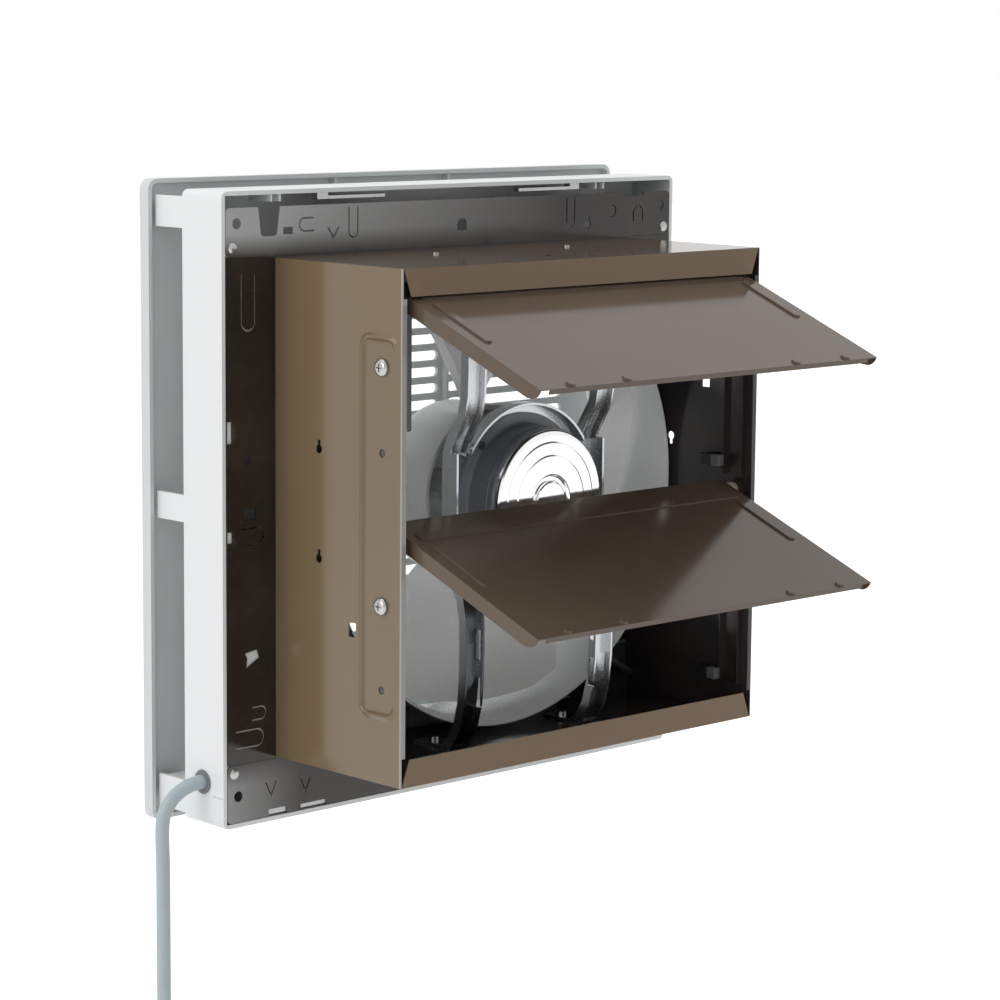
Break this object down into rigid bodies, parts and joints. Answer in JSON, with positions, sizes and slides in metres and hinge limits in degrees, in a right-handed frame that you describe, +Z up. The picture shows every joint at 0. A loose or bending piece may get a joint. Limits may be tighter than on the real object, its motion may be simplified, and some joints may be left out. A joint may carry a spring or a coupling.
{
  "type": "window exhaust fan",
  "caption": "Square exhaust fan set through a window pane or wall: white slotted indoor panel, brown steel box, linked rain shutters, and a motor on a stay driving a bladed plastic wheel.",
  "frame": {"origin": "on the fan's axis, in the plane of the steel flange's outdoor face, which meets the wall; the centre of the four mounting holes", "axes": "+Y outdoors along the fan's axis, -Y towards the room and the slotted panel; +Z up; +X across the wall, towards the side that the power cord leaves"},
  "size_m": [0.3916, 0.2659, 0.6666],
  "materials": {
    "white_plastic": "satin white moulded plastic",
    "pale_plastic": "satin pale grey moulded plastic",
    "brown_paint": "glossy dark brown paint on steel sheet",
    "galvanised": "zinc-coated steel sheet",
    "zinc": "zinc-plated steel",
    "black_rubber": "matt black rubber",
    "grey_rubber": "matt grey rubber",
    "black_plastic": "satin black plastic",
    "grey_plastic": "satin grey plastic",
    "ivory_plastic": "satin ivory plastic",
    "motor_paint": "satin dark grey paint on steel",
    "aluminium_cap": "bright cast aluminium",
    "copper_wire": "enamelled copper wire",
    "cord_grey": "satin pale grey cord jacket",
    "brass_pins": "bright brass"
  },
  "bodies": {
    "base": {"front_frame": "white_plastic", "catch_springs": "zinc", "orifice": "galvanised", "orifice_screws": "zinc", "side_panel_left": "brown_paint", "side_panel_right": "brown_paint", "top_panel": "brown_paint", "bottom_panel": "brown_paint", "frame_rivets": "zinc", "shutter_rail_left": "brown_paint", "shutter_rail_right": "brown_paint", "rail_screws": "zinc", "rubber_bushes": "black_rubber", "cushion_holders": "black_plastic", "shutter_cushions": "grey_rubber", "pivot_bushes": "ivory_plastic", "actuator_case": "grey_plastic", "actuator_cover": "grey_plastic", "actuator_bracket": "galvanised", "actuator_screws": "zinc", "actuator_lead": "grey_rubber", "motor_stay": "galvanised", "stay_screws": "zinc", "motor_shell": "motor_paint", "motor_rear_cap": "aluminium_cap", "motor_front_cap": "aluminium_cap", "motor_screws": "zinc", "stator_core": "galvanised", "stator_windings": "copper_wire", "rear_bearing": "zinc", "front_bearing": "zinc", "terminal_box": "black_plastic", "terminal_cover": "grey_plastic", "terminal_screw": "zinc", "motor_lead": "black_rubber", "inner_cord": "cord_grey", "cord_grommet": "grey_rubber", "cord": "cord_grey", "cord_coil": "cord_grey", "cord_tie": "black_plastic", "plug_body": "cord_grey", "plug_pins": "brass_pins"},
    "panel": {"front_panel": "white_plastic"},
    "fan": {"motor_shaft": "zinc", "rotor": "galvanised", "impeller": "pale_plastic", "drive_pin": "zinc", "spinner_knob": "white_plastic"},
    "upper_flap": {"upper_shutter": "brown_paint", "upper_pivot_pins": "zinc", "upper_crank": "galvanised"},
    "lower_flap": {"lower_shutter": "brown_paint", "lower_pivot_pins": "zinc", "lower_crank": "galvanised"},
    "link": {"link_bar": "galvanised"},
    "lever": {"actuator_shaft": "zinc", "actuator_lever": "galvanised"}
  },
  "joints": [
    {"name": "panel_slide", "type": "slide", "parent": "base", "child": "panel", "axis": [0, -1, 0], "range_m": [0, 0.012]},
    {"name": "fan_spin", "type": "hinge", "parent": "base", "child": "fan", "pos_m": [0, 0, 0], "axis": [0, 1, 0], "continuous": true},
    {"name": "upper_shutter_turn", "type": "hinge", "parent": "base", "child": "upper_flap", "pos_m": [0, 0.0889, 0.1231], "axis": [1, 0, 0], "range_deg": [-68.2, 0]},
    {"name": "lower_shutter_turn", "type": "hinge", "parent": "base", "child": "lower_flap", "pos_m": [0, 0.0889, -0.0044], "axis": [1, 0, 0], "range_deg": [-68.2, 0]},
    {"name": "link_turn", "type": "hinge", "parent": "upper_flap", "child": "link", "pos_m": [0, 0.08073, 0.10267], "axis": [1, 0, 0], "range_deg": [0, 68.2]},
    {"name": "lever_turn", "type": "hinge", "parent": "base", "child": "lever", "pos_m": [0, 0.0549, 0.0851], "axis": [1, 0, 0], "range_deg": [-68.2, 0]}
  ],
  "couplings": [
    {"joint": "lower_shutter_turn", "follows": "upper_shutter_turn", "ratio": 1},
    {"joint": "link_turn", "follows": "upper_shutter_turn", "ratio": -1},
    {"joint": "lever_turn", "follows": "upper_shutter_turn", "ratio": 1}
  ]
}
